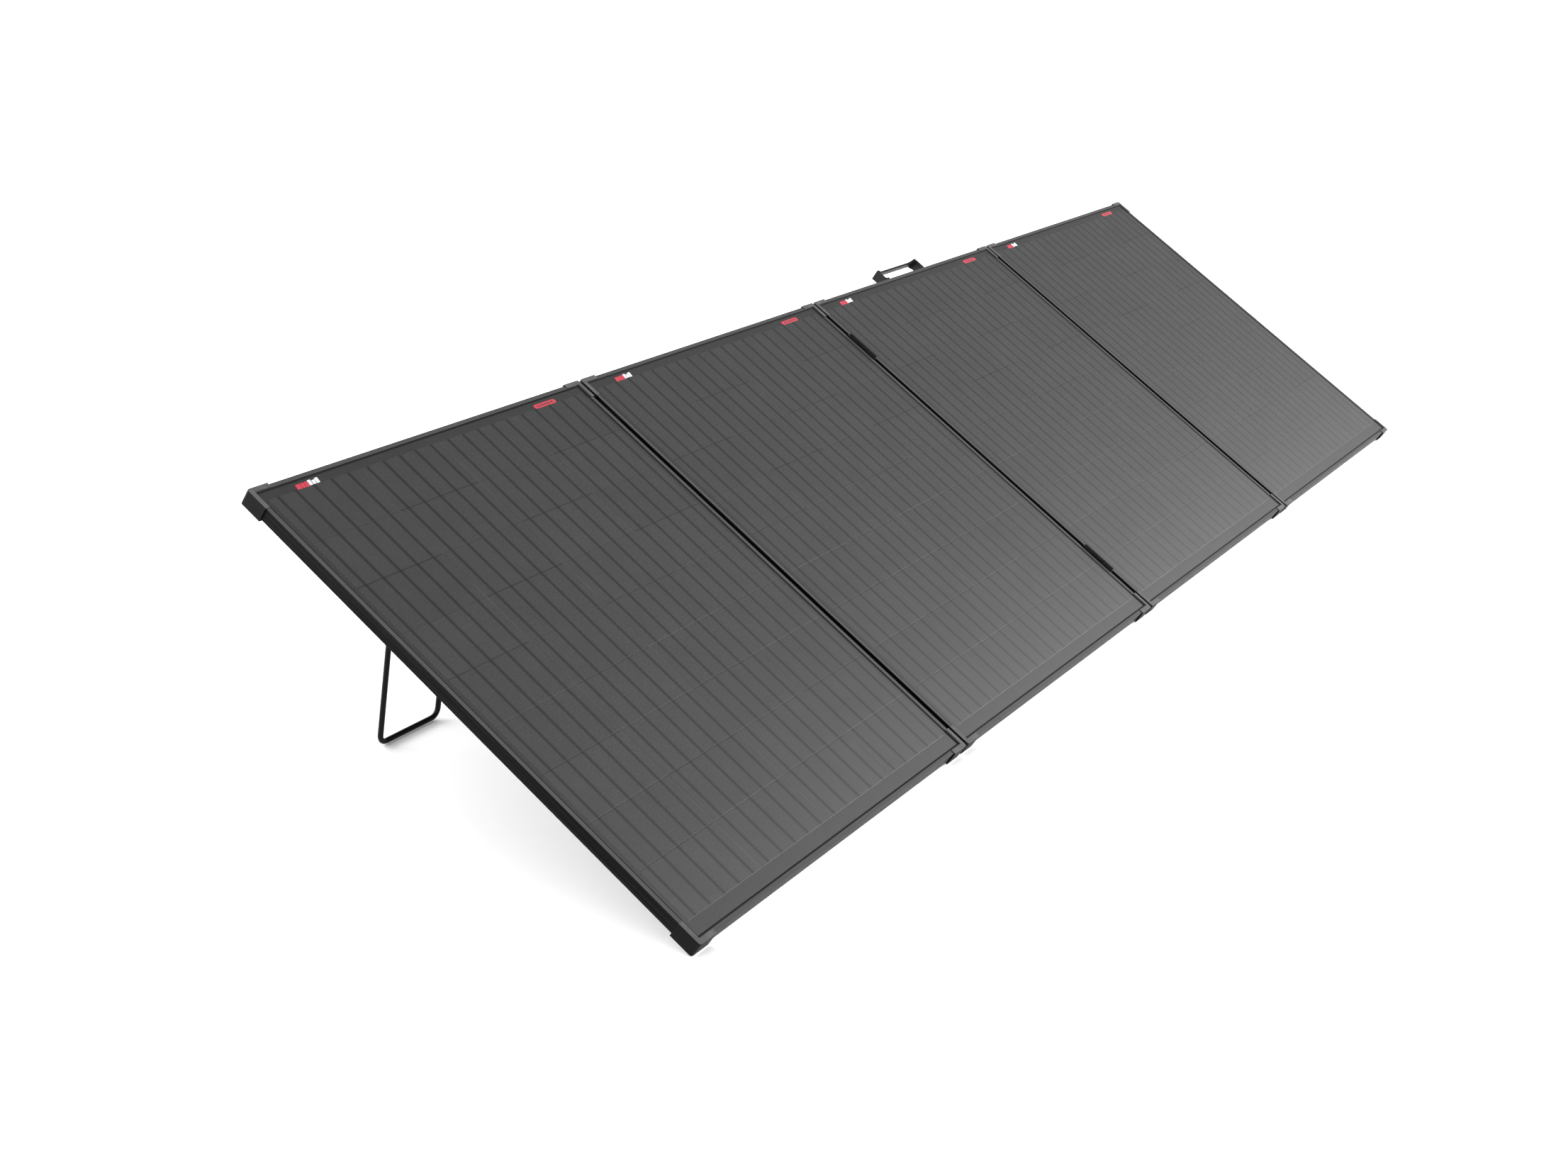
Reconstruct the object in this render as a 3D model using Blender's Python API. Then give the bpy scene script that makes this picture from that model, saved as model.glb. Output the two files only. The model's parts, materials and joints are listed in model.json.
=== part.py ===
# Folding four-panel solar array on wire legs.
#
# Row frame: metres, +Z up, +X along the row of panels from panel 1 to panel 4.
# The panels' fronts look towards -Y and up.  The origin is on the ground, at
# the middle of the whole object's footprint.
#
# Every panel is laid out in the array's own flat frame, which is tilted back
# about X: x runs along the row, v runs up the slope from the lower edge, and
# n points out of the front, with n = 0 on the front of the corner caps.

import math

import bmesh
import bpy
from mathutils import Vector

# ---------------------------------------------------------------- dimensions
MM = 0.001                    # the dimensions below are in millimetres

TILT_DEG = 33.5               # how far the array leans back from the ground
PANELS = 4
PITCH = 677.0                 # width of one panel, joint centre to joint centre
HEIGHT = 773.0                # up the slope, over the corner caps
CAP_GAP = 5.0                 # between the caps of neighbouring panels
CLEAR = 0.3                   # between pieces that touch

CAP_WALL = 1.9                # corner cap: thickness of its outer wall
CAP_ARM = 35.0                # corner cap: length of each arm
CAP_LIP = 7.5                 # corner cap: width of its front flange
CAP_FOOT = 12.0               # corner cap: width of its back flange
CAP_FRONT = 1.0               # corner cap: thickness of its front flange
CAP_DEPTH = 22.5              # corner cap: front to back
CAP_ROUND = 4.0               # corner cap: radius of its outer corner

FRAME_FRONT = -1.3            # front of the frame lip
FRAME_BACK = -20.0            # back of the frame
FRAME_WALL = 1.5
LIP_WIDTH = 6.0
LIP_THICK = 1.0
LEDGE_WIDTH = 9.0
LEDGE_THICK = 1.2
FLANGE_WIDTH = 12.0
FLANGE_THICK = 1.4

LAMINATE_THICK = 3.0          # textured front sheet, cells and stiff back

BARREL_R = 4.2                # hinge
PIN_R = 1.7
BORE_R = 2.1
LEAF_THICK = 1.2
LEAF_DEPTH = 17.0             # from the hinge axis to the leaf's far edge
FRONT_HINGE_LEN = 60.0        # two short hinges on the front of joint 2-3
FRONT_HINGE_FROM_END = 118.0  # their middles from the top or the lower edge
BACK_HINGE_LEN = 600.0        # one long hinge on the back of joints 1-2, 3-4
KNUCKLE_GAP = 0.4
AXIS_PROUD = 0.5              # hinge axis beyond the caps' face

ROD_R = 4.0                   # wire leg
LEG_WIDTH = 123.0             # between the leg's two bars, centre to centre
LEG_ANGLE_DEG = 66.0          # between the open leg and the panel's back
LEG_PIVOT_V = 750.0
LEG_PIVOT_N = -12.6
LEG_END = 26.0                # turned-out end that sits in the bracket
LEG_BEND_TOP = 9.0
LEG_BEND_FOOT = 13.0
BRACKET_W = 12.0

HANDLE_LEN = 148.0
HANDLE_RISE = 24.5            # above the top rail
HANDLE_WALL = 4.0
HANDLE_GRIP = 8.0             # depth of the grip between its flared ends
HANDLE_FLARE = 22.0           # length of each flared end

JBOX_X, JBOX_V = 560.0, 652.0     # centre of the junction box on the back
JBOX_W, JBOX_H = 92.0, 60.0
JBOX_BACK = -16.4
GLAND_R = 6.0
GLAND_BORE = 1.9

# ---------------------------------------------------------------- derived
TILT = math.radians(TILT_DEG)
CAP_SIDE = CAP_GAP / 2                          # panel boundary to cap's side
CAP_STEP = CAP_WALL + CLEAR                     # cap's outer face to the frame
FRAME_SIDE = CAP_SIDE + CAP_STEP                # panel boundary to frame side
FRAME_LOW = CAP_STEP                            # lower edge to frame
SLOT_FRONT = FRAME_FRONT - LIP_THICK
LAMINATE_FRONT = SLOT_FRONT - CLEAR
LAMINATE_BACK = LAMINATE_FRONT - LAMINATE_THICK
SLOT_BACK = LAMINATE_BACK - CLEAR
LAMINATE_IN = FRAME_WALL + CLEAR                # frame's outer face to laminate
CAP_BACK = -CAP_DEPTH

LEG_ANGLE = math.radians(LEG_ANGLE_DEG)
# The open leg points down the slope and out of the back, in (v, n).
LEG_DIR = (-math.cos(LEG_ANGLE), -math.sin(LEG_ANGLE))


def to_yz(v, n):
    """Height and depth of a point of the array's flat frame."""
    return (v * math.cos(TILT) - n * math.sin(TILT),
            v * math.sin(TILT) + n * math.cos(TILT))


# The array stands on the lower back edge of its bottom caps, and the leg is as
# long as it takes to bring the underside of its foot to the same ground.
GROUND = to_yz(0.0, CAP_BACK)[1]
PIVOT_Y, PIVOT_Z = to_yz(LEG_PIVOT_V, LEG_PIVOT_N)
DIR_Y, DIR_Z = to_yz(*LEG_DIR)
LEG_LEN = (PIVOT_Z - GROUND - ROD_R) / -DIR_Z

# ---------------------------------------------------------------- clean start
for old in list(bpy.data.objects):
    bpy.data.objects.remove(old, do_unlink=True)


# ---------------------------------------------------------------- materials
def material(name, colour, roughness, metallic=0.0):
    mat = bpy.data.materials.new(name)
    mat.use_nodes = True
    shader = mat.node_tree.nodes["Principled BSDF"]
    shader.inputs["Base Color"].default_value = (*colour, 1.0)
    shader.inputs["Roughness"].default_value = roughness
    shader.inputs["Metallic"].default_value = metallic
    mat.diffuse_color = (*colour, 1.0)
    return mat


ANODISED = ((0.018, 0.018, 0.019), 0.42, 0.6)
CAP_PLASTIC = ((0.016, 0.016, 0.017), 0.50, 0.0)
FRONT_SHEET = ((0.075, 0.076, 0.078), 0.55, 0.0)
BOX_PLASTIC = ((0.014, 0.014, 0.014), 0.55, 0.0)
HINGE_STEEL = ((0.015, 0.015, 0.016), 0.45, 0.8)
PIN_STEEL = ((0.30, 0.30, 0.31), 0.35, 1.0)
LEG_BLACK = ((0.010, 0.010, 0.010), 0.40, 0.3)
HANDLE_PLASTIC = ((0.014, 0.013, 0.014), 0.45, 0.0)


# ---------------------------------------------------------------- placing
datum = bpy.data.objects.new("array_datum", None)
datum.rotation_euler = (TILT, 0.0, 0.0)
bpy.context.collection.objects.link(datum)

axis_at = {"array_datum": Vector((0.0, 0.0, 0.0))}


def empty(name, parent, at):
    """An empty on a joint's axis.  at is a point of the flat frame, in mm."""
    ob = bpy.data.objects.new(name, None)
    ob.empty_display_size = 0.02
    ob.parent = parent
    ob.location = (Vector(at) - axis_at[parent.name]) * MM
    bpy.context.collection.objects.link(ob)
    axis_at[name] = Vector(at)
    return ob


def finish(name, bm, look, parent, at, smooth=None):
    """Turns a bmesh in mm into an object whose own zero lies at `at`."""
    bmesh.ops.recalc_face_normals(bm, faces=bm.faces)
    bmesh.ops.scale(bm, vec=(MM, MM, MM), verts=bm.verts)
    mesh = bpy.data.meshes.new(name)
    bm.to_mesh(mesh)
    bm.free()
    ob = bpy.data.objects.new(name, mesh)
    if look is not None:
        mesh.materials.append(material(name, *look))
    bpy.context.collection.objects.link(ob)
    ob.parent = parent
    ob.location = (Vector(at) - axis_at[parent.name]) * MM
    if smooth is not None:
        mesh.shade_smooth()
        mesh.set_sharp_from_angle(angle=math.radians(smooth))
    return ob


def boolean(target, operation, tool, smooth=None):
    """Joins or cuts target with tool, and removes the tool."""
    tool.hide_render = True
    tool.display_type = 'WIRE'
    mod = target.modifiers.new(operation.lower(), 'BOOLEAN')
    mod.operation = operation
    mod.solver = 'EXACT'
    mod.object = tool
    bpy.context.view_layer.update()
    graph = bpy.context.evaluated_depsgraph_get()
    result = bpy.data.meshes.new_from_object(target.evaluated_get(graph))
    old = target.data
    target.modifiers.remove(mod)
    target.data = result
    result.name = old.name + "_cut"
    bpy.data.meshes.remove(old)
    bpy.data.objects.remove(tool, do_unlink=True)
    if smooth is not None:
        result.shade_smooth()
        result.set_sharp_from_angle(angle=math.radians(smooth))
    return target


# ---------------------------------------------------------------- shapes
def add_box(bm, lo, hi):
    corners = [bm.verts.new((x, y, z)) for x in (lo[0], hi[0])
               for y in (lo[1], hi[1]) for z in (lo[2], hi[2])]
    for quad in ((0, 1, 3, 2), (4, 6, 7, 5), (0, 4, 5, 1),
                 (2, 3, 7, 6), (0, 2, 6, 4), (1, 5, 7, 3)):
        bm.faces.new([corners[i] for i in quad])


def add_prism(bm, outline, axis, lo, hi):
    """Extrudes a closed outline.  axis is the letter it runs along, and the
    outline's pairs are the other two coordinates in x, v, n order."""
    def point(pair, along):
        a, b = pair
        return {'x': (along, a, b), 'v': (a, along, b), 'n': (a, b, along)}[axis]
    low = [bm.verts.new(point(p, lo)) for p in outline]
    high = [bm.verts.new(point(p, hi)) for p in outline]
    bm.faces.new(low)
    bm.faces.new(high[::-1])
    count = len(outline)
    for i in range(count):
        j = (i + 1) % count
        bm.faces.new((low[i], high[i], high[j], low[j]))


def add_turned(bm, profile, axis, centre, sides, phase=0.5):
    """Turns a profile of (distance along the axis, radius) pairs.  The first
    and last pairs close the ends with a flat face."""
    rings = []
    for along, radius in profile:
        ring = []
        for k in range(sides):
            a = 2 * math.pi * (k + phase) / sides
            c, s = radius * math.cos(a), radius * math.sin(a)
            offset = {'x': (along, c, s), 'v': (c, along, s),
                      'n': (c, s, along)}[axis]
            ring.append(bm.verts.new(Vector(centre) + Vector(offset)))
        rings.append(ring)
    bm.faces.new(rings[0])
    bm.faces.new(rings[-1][::-1])
    for a, b in zip(rings, rings[1:]):
        for i in range(sides):
            j = (i + 1) % sides
            bm.faces.new((a[i], b[i], b[j], a[j]))


# ---------------------------------------------------------------- the folds
# Seen from the front, panels 2 and 3 close face to face on hinges whose
# barrels stand at the front.  The outer two joints close back to back.
def hinge_n(joint):
    return AXIS_PROUD if joint == 2 else CAP_BACK - AXIS_PROUD


panel_2 = empty("panel_2_datum", datum, (PITCH, 0.0, 0.0))
panel_1 = empty("fold_12_axis", panel_2, (PITCH, 0.0, hinge_n(1)))
panel_3 = empty("fold_23_axis", panel_2, (2 * PITCH, 0.0, hinge_n(2)))
panel_4 = empty("fold_34_axis", panel_3, (3 * PITCH, 0.0, hinge_n(3)))
panel_body = {1: panel_1, 2: panel_2, 3: panel_3, 4: panel_4}

leg_body = {}
for number in (1, 4):
    middle = (number - 0.5) * PITCH
    leg_body[number] = empty(f"leg_{number}_axis", panel_body[number],
                             (middle, LEG_PIVOT_V, LEG_PIVOT_N))

# ---------------------------------------------------------------- frames
# Rail section: d is measured inwards from the frame's outer face.
RAIL = [(0.0, FRAME_FRONT), (LIP_WIDTH, FRAME_FRONT), (LIP_WIDTH, SLOT_FRONT),
        (FRAME_WALL, SLOT_FRONT), (FRAME_WALL, SLOT_BACK),
        (LEDGE_WIDTH, SLOT_BACK), (LEDGE_WIDTH, SLOT_BACK - LEDGE_THICK),
        (FRAME_WALL, SLOT_BACK - LEDGE_THICK),
        (FRAME_WALL, FRAME_BACK + FLANGE_THICK),
        (FLANGE_WIDTH, FRAME_BACK + FLANGE_THICK),
        (FLANGE_WIDTH, FRAME_BACK), (0.0, FRAME_BACK)]
MITRE = CLEAR * 0.75          # half of the gap at a mitre, along the rail


def add_rail(bm, place, length):
    """One rail with mitred ends.  place maps (along, d, n) to a point."""
    ends = []
    for end in (0, 1):
        ring = []
        for d, n in RAIL:
            along = d + MITRE if end == 0 else length - d - MITRE
            ring.append(bm.verts.new(place(along, d, n)))
        ends.append(ring)
    bm.faces.new(ends[0])
    bm.faces.new(ends[1][::-1])
    for i in range(len(RAIL)):
        j = (i + 1) % len(RAIL)
        bm.faces.new((ends[0][i], ends[1][i], ends[1][j], ends[0][j]))


RAIL_X = PITCH - 2 * FRAME_SIDE
RAIL_V = HEIGHT - 2 * FRAME_LOW
FRAME_TOP = HEIGHT - FRAME_LOW
FRAME_RIGHT = PITCH - FRAME_SIDE

# Corner cap section, d measured inwards from the cap's outer face.
CAP = [(0.0, -0.5), (0.5, 0.0), (CAP_LIP, 0.0), (CAP_LIP, -CAP_FRONT),
       (CAP_WALL, -CAP_FRONT), (CAP_WALL, FRAME_BACK - CLEAR),
       (CAP_FOOT, FRAME_BACK - CLEAR), (CAP_FOOT, CAP_BACK),
       (0.0, CAP_BACK)]


def add_cap(bm, corner, sx, sv):
    """A corner cap whose arms run from corner along sx * x and sv * v."""
    steps = 4
    rings = []
    for d, n in CAP:
        radius = CAP_ROUND - d if d < CAP_WALL else 0.4
        inner = d + radius
        path = [(CAP_ARM, d)]
        for k in range(steps + 1):
            a = math.pi * 1.5 - k * math.pi / 2 / steps
            path.append((inner + radius * math.cos(a),
                         inner + radius * math.sin(a)))
        path.append((d, CAP_ARM))
        rings.append([bm.verts.new((corner[0] + sx * x, corner[1] + sv * v, n))
                      for x, v in path])
    count = len(rings)
    for i in range(count):
        a, b = rings[i], rings[(i + 1) % count]
        for k in range(len(a) - 1):
            bm.faces.new((a[k], a[k + 1], b[k + 1], b[k]))
    bm.faces.new([ring[0] for ring in rings])
    bm.faces.new([ring[-1] for ring in rings][::-1])


for number in range(1, PANELS + 1):
    body = panel_body[number]
    left = Vector(((number - 1) * PITCH, 0.0, 0.0))
    name = f"panel_{number}_"

    # Frame
    rails = (
        ("top_rail", lambda s, d, n: (FRAME_SIDE + s, FRAME_TOP - d, n), RAIL_X),
        ("bottom_rail", lambda s, d, n: (FRAME_SIDE + s, FRAME_LOW + d, n),
         RAIL_X),
        ("left_rail", lambda s, d, n: (FRAME_SIDE + d, FRAME_LOW + s, n),
         RAIL_V),
        ("right_rail", lambda s, d, n: (FRAME_RIGHT - d, FRAME_LOW + s, n),
         RAIL_V))
    for part, place, length in rails:
        bm = bmesh.new()
        add_rail(bm, place, length)
        finish(name + part, bm, ANODISED, body, left)

    # Corner caps
    for side, x, sx in (("left", CAP_SIDE, 1), ("right", PITCH - CAP_SIDE, -1)):
        for end, v, sv in (("lower", 0.0, 1), ("upper", HEIGHT, -1)):
            bm = bmesh.new()
            add_cap(bm, (x, v), sx, sv)
            finish(f"{name}{end}_{side}_cap", bm, CAP_PLASTIC, body, left,
                   smooth=40)

    # Laminate: front sheet, cells and stiff back, bonded into one board
    x0 = FRAME_SIDE + LAMINATE_IN
    v0 = FRAME_LOW + LAMINATE_IN
    bm = bmesh.new()
    add_box(bm, (x0, v0, LAMINATE_BACK),
            (PITCH - x0, HEIGHT - v0, LAMINATE_FRONT))
    finish(name + "laminate", bm, FRONT_SHEET, body, left)

    # Junction box on the back, with the boss that its cable gland screws into
    front = LAMINATE_BACK - CLEAR
    w, h = JBOX_W / 2, JBOX_H / 2
    cut = 6.0
    plan = [(-w + cut, -h), (w - cut, -h), (w, -h + cut), (w, h - cut),
            (w - cut, h), (-w + cut, h), (-w, h - cut), (-w, -h + cut)]
    bm = bmesh.new()
    add_prism(bm, [(JBOX_X + a, JBOX_V + b) for a, b in plan], 'n',
              JBOX_BACK, front)
    box = finish(name + "junction_box", bm, BOX_PLASTIC, body, left)
    mouth = (JBOX_X, JBOX_V - h, (front + JBOX_BACK) / 2)
    bm = bmesh.new()
    add_turned(bm, [(8.0, GLAND_R * 0.85), (-7.0, GLAND_R * 0.85)], 'v', mouth,
               12)
    boolean(box, 'UNION', finish("joiner", bm, None, body, left))
    bm = bmesh.new()
    add_turned(bm, [(-9.0, GLAND_BORE), (5.0, GLAND_BORE)], 'v', mouth, 8)
    boolean(box, 'DIFFERENCE', finish("cutter", bm, None, body, left),
            smooth=35)

# ---------------------------------------------------------------- hinges
# Each hinge is a pair of leaves on the facing sides of two frames, joined by
# a headed pin.  The left leaf carries the odd knuckles, the right the even.
LEAF_OUT = FRAME_SIDE - CLEAR
LEAF_IN = LEAF_OUT - LEAF_THICK
NECK_TOP = -BARREL_R - 0.6            # the plain part of a leaf stops here


def knuckle_outline(side):
    """Barrel and neck of a leaf, in (x, depth) from the hinge axis."""
    points = [(-LEAF_OUT, NECK_TOP - 0.8), (-LEAF_OUT, 0.0)]
    start = math.pi
    stop = -math.acos(-LEAF_IN / BARREL_R)
    steps = 11
    for k in range(steps + 1):
        a = start + (stop - start) * k / steps
        points.append((BARREL_R * math.cos(a), BARREL_R * math.sin(a)))
    points.append((-LEAF_IN, NECK_TOP - 0.8))
    return [(side * -x, m) for x, m in points]


def add_hinge(tag, joint, v, length, knuckles):
    """Makes one hinge, its middle at v up the slope, as three objects."""
    axis = Vector((joint * PITCH, v, hinge_n(joint)))
    deep = 1.0 if joint == 2 else -1.0    # which way the leaves reach
    low = -length / 2
    share = length / knuckles
    for label, side, number, odd in (("left_leaf", -1, joint, 0),
                                     ("right_leaf", 1, joint + 1, 1)):
        body = panel_body[number]
        plate, barrels, bore = bmesh.new(), bmesh.new(), bmesh.new()
        across = sorted((side * LEAF_IN, side * LEAF_OUT))
        depth = sorted((-deep * LEAF_DEPTH, deep * NECK_TOP))
        add_box(plate, (across[0], low, depth[0]), (across[1], -low, depth[1]))
        for k in range(odd, knuckles, 2):
            lo = low + k * share + (KNUCKLE_GAP / 2 if k else 0.0)
            hi = low + (k + 1) * share
            hi -= KNUCKLE_GAP / 2 if k < knuckles - 1 else 0.0
            add_prism(barrels, [(x, deep * m) for x, m in knuckle_outline(side)],
                      'v', lo, hi)
        add_turned(bore, [(low - 2, BORE_R), (-low + 2, BORE_R)], 'v',
                   (0, 0, 0), 12)
        leaf = finish(tag + label, plate, HINGE_STEEL, body, axis)
        boolean(leaf, 'UNION', finish("joiner", barrels, None, body, axis))
        boolean(leaf, 'DIFFERENCE', finish("cutter", bore, None, body, axis),
                smooth=35)
    end = length / 2 + CLEAR
    bm = bmesh.new()
    add_turned(bm, [(-end - 1.0, 3.0), (-end, 3.0), (-end, PIN_R),
                    (end, PIN_R), (end, 3.0), (end + 1.0, 3.0)],
               'v', (0, 0, 0), 12)
    finish(tag + "pin", bm, PIN_STEEL, panel_body[joint], axis, smooth=50)


add_hinge("hinge_12_", 1, HEIGHT / 2, BACK_HINGE_LEN, 5)
add_hinge("hinge_23_lower_", 2, FRONT_HINGE_FROM_END, FRONT_HINGE_LEN, 3)
add_hinge("hinge_23_upper_", 2, HEIGHT - FRONT_HINGE_FROM_END, FRONT_HINGE_LEN,
          3)
add_hinge("hinge_34_", 3, HEIGHT / 2, BACK_HINGE_LEN, 5)

# ---------------------------------------------------------------- legs
def leg_path():
    """Centre line of the wire leg, as (x, distance down the leg)."""
    half = LEG_WIDTH / 2
    corners = [(-half - LEG_END, 0.0, 0.0), (-half, 0.0, LEG_BEND_TOP),
               (-half, LEG_LEN, LEG_BEND_FOOT), (half, LEG_LEN, LEG_BEND_FOOT),
               (half, 0.0, LEG_BEND_TOP), (half + LEG_END, 0.0, 0.0)]
    points = [Vector(corners[0][:2])]
    for before, here, after in zip(corners, corners[1:], corners[2:]):
        corner, radius = Vector(here[:2]), here[2]
        a = (Vector(before[:2]) - corner).normalized()
        b = (Vector(after[:2]) - corner).normalized()
        centre = corner + (a + b) * radius
        steps = 5
        for k in range(steps + 1):
            t = math.pi / 2 * k / steps
            points.append(centre - b * radius * math.cos(t)
                          - a * radius * math.sin(t))
    points.append(Vector(corners[-1][:2]))
    return points


def add_rod(bm, path, radius, sides):
    """Sweeps a round bar along a path in the leg's plane."""
    down = Vector((0.0, *LEG_DIR))
    out = Vector((1.0, 0.0, 0.0)).cross(down)
    rings = []
    for i, point in enumerate(path):
        before = path[max(i - 1, 0)]
        after = path[min(i + 1, len(path) - 1)]
        a = (point - before).normalized() if i else (after - point).normalized()
        b = (after - point).normalized() if after is not point else a
        tangent = (a + b).normalized()
        across = Vector((-tangent.y, tangent.x))
        stretch = 1.0 / max(0.5, across.dot(Vector((-a.y, a.x))))
        ring = []
        for k in range(sides):
            t = 2 * math.pi * (k + 0.5) / sides
            flat = point + across * (radius * stretch * math.cos(t))
            ring.append(bm.verts.new(Vector((1, 0, 0)) * flat.x + down * flat.y
                                     + out * (radius * math.sin(t))))
        rings.append(ring)
    bm.faces.new(rings[0])
    bm.faces.new(rings[-1][::-1])
    for a, b in zip(rings, rings[1:]):
        for i in range(sides):
            j = (i + 1) % sides
            bm.faces.new((a[i], b[i], b[j], a[j]))


for number, leg in leg_body.items():
    body = panel_body[number]
    left = Vector(((number - 1) * PITCH, 0.0, 0.0))
    bm = bmesh.new()
    add_rod(bm, leg_path(), ROD_R, 10)
    finish(f"leg_{number}_rod", bm, LEG_BLACK, leg, axis_at[leg.name],
           smooth=50)

    # Brackets: a block with the pivot bore, and a tab on the rail's flange.
    tab = FRAME_BACK - CLEAR
    low, edge = LEG_PIVOT_V - 8.0, FRAME_TOP - FLANGE_WIDTH - CLEAR
    block_n = LAMINATE_BACK - CLEAR
    section = [(low, block_n), (edge, block_n), (edge, tab),
               (FRAME_TOP - 1.0, tab), (FRAME_TOP - 1.0, tab - 2.0),
               (low + 3.0, tab - 2.0), (low, tab + 1.0)]
    for side, sign in (("left", -1), ("right", 1)):
        x = PITCH / 2 + sign * (LEG_WIDTH / 2 + LEG_END - 2.0 - BRACKET_W / 2)
        bm = bmesh.new()
        add_prism(bm, section, 'x', x - BRACKET_W / 2, x + BRACKET_W / 2)
        bracket = finish(f"leg_{number}_{side}_bracket", bm, BOX_PLASTIC, body,
                         left)
        bm = bmesh.new()
        add_turned(bm, [(-BRACKET_W, ROD_R + 0.45), (BRACKET_W, ROD_R + 0.45)],
                   'x', (x, LEG_PIVOT_V, LEG_PIVOT_N), 12)
        boolean(bracket, 'DIFFERENCE', finish("cutter", bm, None, body, left),
                smooth=40)

# ---------------------------------------------------------------- handle
# A moulded bridge on the top rail of panel 3: two thin end walls as deep as
# the frame, and a slim grip that flares out to meet them.
body = panel_body[3]
left = Vector((2 * PITCH, 0.0, 0.0))
hx = PITCH / 2
foot = FRAME_TOP + CLEAR
crest = FRAME_TOP + HANDLE_RISE
n_front, n_back = FRAME_FRONT, FRAME_BACK + 0.2
n_mid = (n_front + n_back) / 2
half = HANDLE_LEN / 2
grip = HANDLE_GRIP / 2
flare = HANDLE_FLARE

outline = [(-half, n_front), (-half + HANDLE_WALL, n_front)]
steps = 4
for k in range(1, steps + 1):
    t = k / steps
    outline.append((-half + HANDLE_WALL + flare * t,
                    n_mid + grip + (n_front - n_mid - grip) * (1 - t) ** 2))
outline += [(-x, n) for x, n in reversed(outline)]
outline += [(x, 2 * n_mid - n) for x, n in reversed(outline)]
bm = bmesh.new()
add_prism(bm, [(hx + x, n) for x, n in outline], 'v', crest - HANDLE_WALL, crest)
handle = finish("handle", bm, HANDLE_PLASTIC, body, left)
bm = bmesh.new()
round_off = 3.0
for sign in (-1, 1):
    wall = [(sign * half, foot), (sign * half, crest - round_off),
            (sign * (half - round_off * 0.3), crest - round_off * 0.3),
            (sign * (half - round_off), crest + 0.01),
            (sign * (half - HANDLE_WALL - 4.0), crest + 0.01),
            (sign * (half - HANDLE_WALL - 4.0), crest - HANDLE_WALL),
            (sign * (half - HANDLE_WALL), crest - HANDLE_WALL - 4.0),
            (sign * (half - HANDLE_WALL), foot + 4.0),
            (sign * (half - HANDLE_WALL - 9.0), foot + 3.0),
            (sign * (half - HANDLE_WALL - 9.0), foot)]
    add_prism(bm, [(hx + x, v) for x, v in wall], 'n', n_back, n_front)
boolean(handle, 'UNION', finish("joiner", bm, None, body, left), smooth=40)

# ---------------------------------------------------------------- origin
# Moves the whole array so that its origin is the middle of its footprint, on
# the ground.
bpy.context.view_layer.update()
corners = [ob.matrix_world @ vert.co for ob in bpy.data.objects
           if ob.type == 'MESH' for vert in ob.data.vertices]
low = [min(point[i] for point in corners) for i in range(3)]
high = [max(point[i] for point in corners) for i in range(3)]
datum.location = (-(low[0] + high[0]) / 2, -(low[1] + high[1]) / 2, -low[2])
bpy.context.view_layer.update()
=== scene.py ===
# Looks of the folding solar array: everything here is built round the packed
# frame and rides on its bodies.
#
# Places are given in the array's flat frame, in millimetres: x runs along the
# row from the left end of panel 1, v runs up the slope from the lower edge,
# and n points out of the front.

import json
import math

import bmesh
import bpy
from mathutils import Matrix, Vector

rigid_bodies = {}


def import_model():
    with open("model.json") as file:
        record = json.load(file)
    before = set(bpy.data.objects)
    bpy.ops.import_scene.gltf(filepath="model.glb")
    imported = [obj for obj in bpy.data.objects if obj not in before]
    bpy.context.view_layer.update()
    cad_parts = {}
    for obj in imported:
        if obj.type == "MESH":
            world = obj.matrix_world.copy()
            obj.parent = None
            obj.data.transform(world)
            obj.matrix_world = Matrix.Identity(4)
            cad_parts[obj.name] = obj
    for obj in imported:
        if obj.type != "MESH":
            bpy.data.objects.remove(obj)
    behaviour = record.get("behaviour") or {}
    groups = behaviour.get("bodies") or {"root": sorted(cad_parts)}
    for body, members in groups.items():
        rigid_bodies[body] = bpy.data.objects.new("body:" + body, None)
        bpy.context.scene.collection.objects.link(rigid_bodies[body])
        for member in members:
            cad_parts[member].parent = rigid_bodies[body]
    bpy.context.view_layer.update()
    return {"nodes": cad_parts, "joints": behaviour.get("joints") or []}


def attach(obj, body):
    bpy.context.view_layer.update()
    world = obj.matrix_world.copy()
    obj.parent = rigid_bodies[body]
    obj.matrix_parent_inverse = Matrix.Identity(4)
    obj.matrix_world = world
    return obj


for ob in list(bpy.data.objects):
    bpy.data.objects.remove(ob)

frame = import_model()
nodes = frame["nodes"]
joints = {j["name"]: j for j in frame["joints"]}
MM = 0.001

# ------------------------------------------------------------- flat frame
X = Vector((1.0, 0.0, 0.0))
V = -Vector(joints["fold_23"]["axis"]).normalized()
N = X.cross(V)
TILT = math.atan2(V.z, V.y)
PITCH = (joints["fold_34"]["pos_m"][0] - joints["fold_23"]["pos_m"][0]) / MM
AXIS_PROUD = 0.5
ORIGIN = (Vector(joints["fold_23"]["pos_m"]) - N * (AXIS_PROUD * MM)
          - X * (2 * PITCH * MM))


def at(x, v, n):
    return ORIGIN + X * (x * MM) + V * (v * MM) + N * (n * MM)


def flat_box(node):
    """Lowest and highest (x, v, n) of a CAD node, in millimetres."""
    points = [(v.co - ORIGIN) / MM for v in nodes[node].data.vertices]
    rows = [[p.dot(axis) for p in points] for axis in (X, V, N)]
    return [min(r) for r in rows], [max(r) for r in rows]


HEIGHT = flat_box("panel_1_upper_left_cap")[1][1]


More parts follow.
